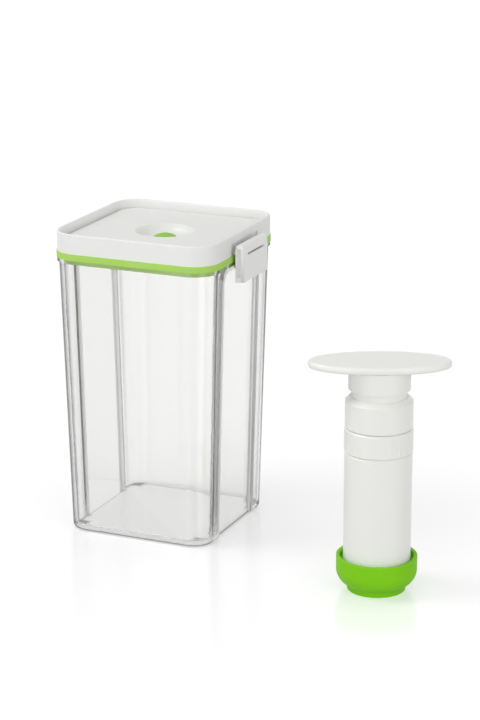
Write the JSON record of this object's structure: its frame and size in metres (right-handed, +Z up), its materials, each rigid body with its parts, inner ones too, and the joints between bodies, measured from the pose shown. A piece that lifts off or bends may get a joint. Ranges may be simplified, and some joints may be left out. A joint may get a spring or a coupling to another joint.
{
  "type": "herb keeper",
  "caption": "Clear square vacuum canister for fresh herbs with a latched lid, lime green seal and release valve, and its hand pump standing beside it.",
  "frame": {"origin": "middle of the container's underside, on the table", "axes": "+X towards the right-hand latch and the pump's side, +Y to the back, +Z up"},
  "size_m": [0.2776, 0.1468, 0.2015],
  "materials": {
    "clear_plastic": "clear moulded SAN, polished",
    "white_plastic": "moulded ABS, fine satin",
    "lime_silicone": "matt moulded silicone",
    "green_silicone": "matt moulded silicone",
    "inner_plastic": "moulded acetal",
    "pin_steel": "drawn stainless wire"
  },
  "bodies": {
    "container": {"container": "clear_plastic"},
    "lid": {"lid_frame": "white_plastic", "lid_panel": "white_plastic", "lid_seal": "lime_silicone", "latch_pin_right": "pin_steel", "latch_pin_left": "pin_steel", "valve_spring": "pin_steel"},
    "latch_right": {"latch_right": "white_plastic"},
    "latch_left": {"latch_left": "white_plastic"},
    "valve": {"valve_knob": "lime_silicone", "valve_stem": "inner_plastic", "valve_seal": "lime_silicone", "valve_clip": "inner_plastic"},
    "pump": {"pump_cup": "green_silicone", "pump_barrel": "white_plastic", "pump_inlet_valve": "green_silicone", "pump_upper_barrel": "white_plastic", "pump_barrel_seal": "green_silicone", "pump_rod_bush": "inner_plastic"},
    "pump_ring": {"pump_ring": "white_plastic"},
    "pump_handle": {"pump_collar": "white_plastic", "pump_handle": "white_plastic", "pump_handle_screw": "pin_steel", "pump_handle_cap": "white_plastic", "pump_rod": "inner_plastic", "pump_piston": "inner_plastic", "pump_piston_seal": "green_silicone", "pump_outlet_valve": "green_silicone"}
  },
  "joints": [
    {"name": "lid_lift", "type": "slide", "parent": "container", "child": "lid", "axis": [0, 0, 1], "range_m": [0, 0.072]},
    {"name": "latch_right_swing", "type": "hinge", "parent": "lid", "child": "latch_right", "pos_m": [0.0603, 0, 0.193], "axis": [0, -1, 0], "range_deg": [0, 105]},
    {"name": "latch_left_swing", "type": "hinge", "parent": "lid", "child": "latch_left", "pos_m": [-0.0603, 0, 0.193], "axis": [0, 1, 0], "range_deg": [0, 105]},
    {"name": "valve_lift", "type": "slide", "parent": "lid", "child": "valve", "axis": [0, 0, 1], "range_m": [0, 0.002], "stiffness_N_per_m": 150, "springref_m": -0.002, "deforming": ["valve_spring"]},
    {"name": "pump_lift", "type": "slide", "parent": "container", "child": "pump", "axis": [0, 0, 1], "range_m": [0, 0.1]},
    {"name": "pump_stroke", "type": "slide", "parent": "pump", "child": "pump_handle", "axis": [0, 0, 1], "range_m": [0, 0.058]},
    {"name": "ring_turn", "type": "hinge", "parent": "pump", "child": "pump_ring", "pos_m": [0.173, -0.065, 0.09685], "axis": [0, 0, 1], "range_deg": [0, 60]}
  ]
}
